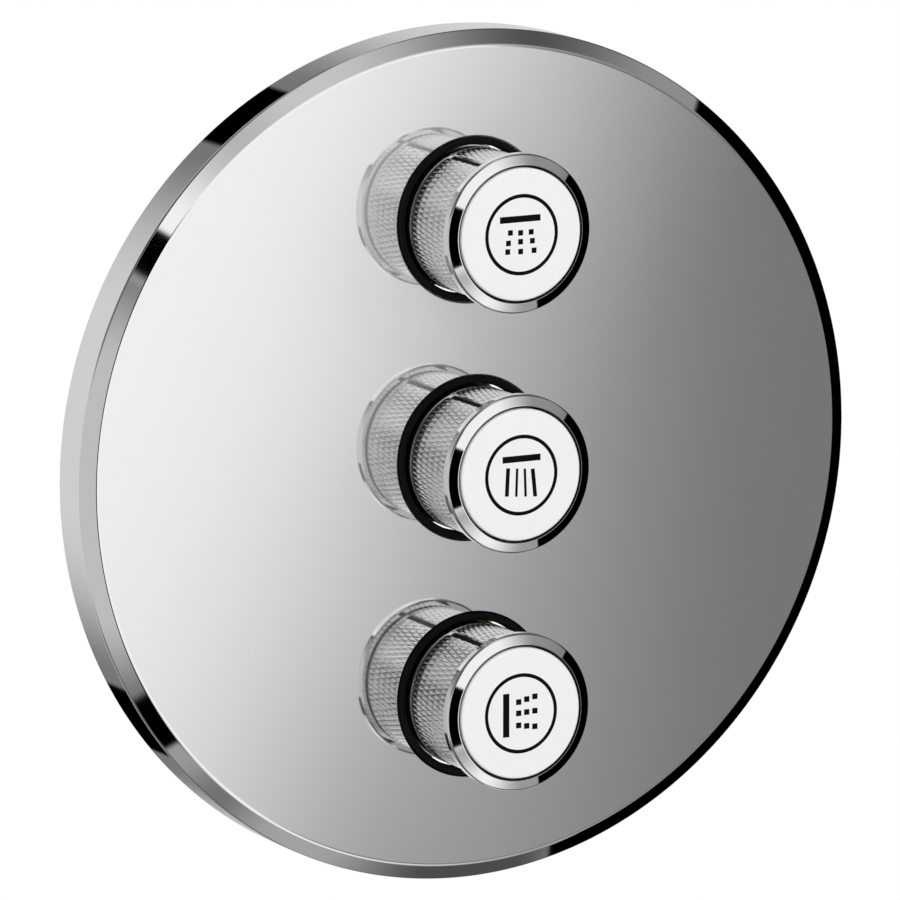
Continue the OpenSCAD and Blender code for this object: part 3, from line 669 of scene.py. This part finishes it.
def makeSpring(s, row):
    bm = bmesh.new()
    steps, sides = s["turns"] * s["perTurn"], s["sides"]
    rings = []
    for k in range(steps + 1):
        angle = 2 * math.pi * k / s["perTurn"]
        out = s["low"] + (s["high"] - s["low"]) * k / steps
        section = arc(s["coil"], out, s["wire"], 0, 360, sides)[:-1]
        rings.append([bm.verts.new(spot(radius, reach, angle, rows[row])) for radius, reach in section])
    for low, high in zip(rings, rings[1:]):
        for i in range(sides):
            j = (i + 1) % sides
            bm.faces.new((low[i], low[j], high[j], high[i]))
    bm.faces.new(rings[0])
    bm.faces.new(rings[-1])
    coil = finishMesh(bm, "coil_spring_" + row, "wall_unit", [finishes["drawnSteel"]],
                      "return_spring_" + row)
    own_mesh(coil)


for row in rows:
    makeSpring(spring, row)
print("stage: springs made")


# Finishes of the pieces that keep their CAD shape
keptFinish = {
    "wall_gasket": "foam", "carrier": "darkPlastic", "carrier_screws": "drawnSteel",
    "carrier_spacers": "palePlastic", "valve_block": "castBrass", "rail_plugs": "turnedBrass",
    "port_seals": "rubber", "lip_seal": "rubber", "grip_hub": "darkPlastic", "plunger": "drawnSteel",
    "spindle": "turnedBrass", "clip": "drawnSteel", "gland_nut": "turnedBrass",
    "insert": "palePlastic", "insert_seals": "rubber",
}
for name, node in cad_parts.items():
    stem = name
    for row in rows:
        if name.endswith("_" + row):
            stem = name[:-len(row) - 1]
    if stem in keptFinish:
        for slotIndex in range(len(node.material_slots)):
            node.material_slots[slotIndex].material = finishes[keptFinish[stem]]
print("stage: CAD pieces finished")


# The room that reflections see, in degrees. Azimuth runs from straight ahead (-Y) towards +X, and height runs
# up from the horizon. A pair of numbers is where a soft edge starts and ends.
room = {
    "even": 0.74,
    "shade": {"edge": (25.2, 29.8), "depth": 0.8, "height": -10.8, "slant": 0.5, "upright": (26.5, 29.0),
              "loss": 0.4},
    "upper": {"edge": (14.0, 42.0), "depth": 0.7, "heights": (4.0, 20.0)},
    "lower": {"left": (-12.0, 12.0), "right": (14.0, 46.0), "gain": 0.64, "base": 0.36,
              "heights": (-32.0, -22.0)},
    "side": {"edge": (-23.0, -21.0), "level": 0.58, "height": -10.5, "spread": (16.0, 30.0), "loss": 0.42},
    "ceiling": {"left": (-24.0, 4.0), "right": (8.0, 48.0), "gain": 0.54, "base": 0.09,
                "heights": (24.0, 36.0)},
    "ground": {"left": (-14.0, 8.0), "right": (16.0, 48.0), "gain": 0.33, "base": 0.08,
               "heights": (-54.0, -47.0)},
    "behind": {"azimuth": 178.0, "spread": (8.0, 28.0), "gain": 0.5, "base": 0.2, "edge": (38.0, 62.0),
               "doorway": (5.9, 6.9)},
    "leftScreen": {"azimuths": (-22.2, -9.2), "heights": (-45.3, 22.4), "soft": 0.4},
    "rightScreen": {"azimuths": (50.0, 112.0), "heights": (-63.0, 38.0), "soft": 1.0,
                    "top": {"azimuth": 58.0, "slope": 0.95, "edge": (11.0, 12.0)},
                    "bottom": {"azimuth": 51.5, "slope": 0.64, "edge": (-41.0, -40.0)}},
}


# A band of light that swells towards its middle
def band(az, s):
    return az.above(*s["left"]) * az.below(*s["right"]) * s["gain"] + s["base"]


# An upright black screen
def screen(az, el, s):
    return az.between(*s["azimuths"], s["soft"]) * el.between(*s["heights"], s["soft"])


# Light levels of the room: a bright wall in front that falls off to the right, with dimmer bands above and
# below it, a dim left side, light that dims towards a dark doorway behind, and two black screens.
def roomLevel(start, az, el):
    shade, upper, lower = room["shade"], room["upper"], room["lower"]
    side, behind = room["side"], room["behind"]
    slant = shade["slant"] - az.above(*shade["upright"]) * shade["loss"]
    near = (az - (el - shade["height"]) * slant).above(*shade["edge"]) * shade["depth"]
    high = az.above(*upper["edge"]) * upper["depth"]
    level = 1.0 - near.blend(high, el.above(*upper["heights"]))
    level = level.blend(band(az, lower), el.below(*lower["heights"]))
    away = start.maths("ABSOLUTE", el - side["height"])
    level = level.blend(side["level"] - away.above(*side["spread"]) * side["loss"], az.below(*side["edge"]))
    level = level.blend(band(az, room["ceiling"]), el.above(*room["ceiling"]["heights"]))
    level = level.blend(band(az, room["ground"]), el.below(*room["ground"]["heights"]))
    fullTurn = az.below(0.0, 0.01) * 360.0 + az
    turn = start.maths("ABSOLUTE", fullTurn - behind["azimuth"])
    level = level.blend(turn.above(*behind["spread"]) * behind["gain"] + behind["base"],
                        turn.below(*behind["edge"]))
    level = level * turn.above(*behind["doorway"])
    right = room["rightScreen"]
    top, bottom = right["top"], right["bottom"]
    cut = ((el - (az - top["azimuth"]) * top["slope"]).below(*top["edge"])
           * (el + (az - bottom["azimuth"]) * bottom["slope"]).above(*bottom["edge"]))
    return level * (1.0 - screen(az, el, room["leftScreen"])) * (1.0 - cut * screen(az, el, right))


# Reflections see the room, the camera sees plain white, and all else gets soft even light.
def makeWorld():
    world = bpy.data.worlds.new("studio")
    bpy.context.scene.world = world
    world.use_nodes = True
    world.cycles.sampling_method = "NONE"
    tree = world.node_tree
    tree.nodes.clear()
    start = Wire(tree)
    x, y, z = start.add("TexCoord", output=0).parts()
    az = start.maths("ARCTAN2", x, -y) * (180 / math.pi)
    el = start.maths("ARCSINE", z) * (180 / math.pi)
    isCamera = start.add("LightPath", output="Is Camera Ray")
    isGlossy = start.add("LightPath", output="Is Glossy Ray")
    shown = (isGlossy * (roomLevel(start, az, el) - room["even"]) + room["even"]).blend(1.0, isCamera)
    background = start.add("Background", {}, {"Color": tinted(start, shown), "Strength": 1.0})
    start.add("OutputWorld", {}, {"Surface": background})


# Floor, wall, lamps and camera
studio = {
    "floorZ": -450.0, "floorSize": 9000.0, "floorSteps": 24, "floorTone": 0.9, "whiteFrom": 0.5,
    "whiteTo": 1.4, "wall": 46.0, "wallSize": 2400.0, "target": (0.926, -46.0, -0.415), "azimuth": -27.8,
    "elevation": 10.795, "distance": 1836.6, "focal": 9984.6, "picture": 900.0, "sensor": 36.0,
}
lamps = {
    "key_lamp": {"place": (-1.1, -1.6, 1.5), "size": 1.2, "power": 14.0},
    "fill_lamp": {"place": (1.4, -1.5, 0.6), "size": 1.4, "power": 6.0},
}


# A stage material; build() returns its shader.
def stageMaterial(name, build):
    material = bpy.data.materials.new(name)
    material.use_nodes = True
    tree = material.node_tree
    tree.nodes.clear()
    start = Wire(tree)
    start.add("OutputMaterial", {}, {"Surface": build(start)})
    return material


def stagePiece(bm, name, material):
    mesh = bpy.data.meshes.new(name)
    bm.to_mesh(mesh)
    bm.free()
    mesh.materials.append(material)
    piece = bpy.data.objects.new(name, mesh)
    bpy.context.scene.collection.objects.link(piece)
    piece.visible_glossy = False
    return piece


# Pale and matt near the object, and white to the camera further out
def makeFloor(s):
    def paleFloor(start):
        away = start.add("TexCoord", output=3).length()
        glow = away.above(s["whiteFrom"], s["whiteTo"]) * start.add("LightPath", output="Is Camera Ray")
        matt = start.add("BsdfDiffuse", {}, {"Color": grey(s["floorTone"])})
        white = start.add("Emission", {}, {"Color": grey(1.0), "Strength": 1.0})
        return start.add("MixShader", {}, {0: glow, 1: matt, 2: white})

    bm = bmesh.new()
    steps = s["floorSteps"]
    bmesh.ops.create_grid(bm, x_segments=steps, y_segments=steps, size=s["floorSize"] * mm / 2)
    stagePiece(bm, "floor", stageMaterial("pale_floor", paleFloor)).location = (0.0, 0.0, s["floorZ"] * mm)


# The finished wall that the panel is let into. It shows only from the room's side and throws no shade.
def makeWall(s):
    def whiteWall(start):
        white = start.add("Emission", {}, {"Color": grey(1.0), "Strength": 1.0})
        sides = {0: start.add("NewGeometry", output="Backfacing"), 1: white, 2: start.add("BsdfTransparent")}
        return start.add("MixShader", {}, sides)

    bm = bmesh.new()
    half, y = s["wallSize"] * mm / 2, -s["wall"] * mm
    corners = ((-1, -1), (1, -1), (1, 1), (-1, 1))
    bm.faces.new([bm.verts.new((px * half, y, pz * half)) for px, pz in corners])
    wall = stagePiece(bm, "wall", stageMaterial("white_wall", whiteWall))
    wall.visible_diffuse = wall.visible_transmission = wall.visible_shadow = False


# A soft round lamp that points at the object and doesn't show in reflections
def makeLamp(name, s):
    lamp = bpy.data.lights.new(name, "AREA")
    lamp.shape = "DISK"
    lamp.size = s["size"]
    lamp.energy = s["power"]
    holder = bpy.data.objects.new(name, lamp)
    holder.location = s["place"]
    holder.rotation_euler = (-Vector(s["place"])).to_track_quat("-Z", "Y").to_euler()
    holder.visible_glossy = False
    bpy.context.scene.collection.objects.link(holder)


# The distance, and the focal length in pixels of the picture, come from fitting the photograph.
def makeCamera(s):
    az, el = math.radians(s["azimuth"]), math.radians(s["elevation"])
    back = Vector((math.sin(az) * math.cos(el), -math.cos(az) * math.cos(el), math.sin(el)))
    data = bpy.data.cameras.new("camera")
    data.sensor_width = s["sensor"]
    data.lens = s["focal"] / s["picture"] * s["sensor"]
    data.clip_start = 0.05
    data.clip_end = 50.0
    camera = bpy.data.objects.new("camera", data)
    camera.location = Vector(s["target"]) * mm + back * s["distance"] * mm
    camera.rotation_euler = (-back).to_track_quat("-Z", "Y").to_euler()
    bpy.context.scene.collection.objects.link(camera)
    bpy.context.scene.camera = camera


bpy.context.scene.view_settings.view_transform = "Standard"
makeWorld()
makeFloor(studio)
makeWall(studio)
for name, settings in lamps.items():
    makeLamp(name, settings)
makeCamera(studio)
print("stage: studio made")
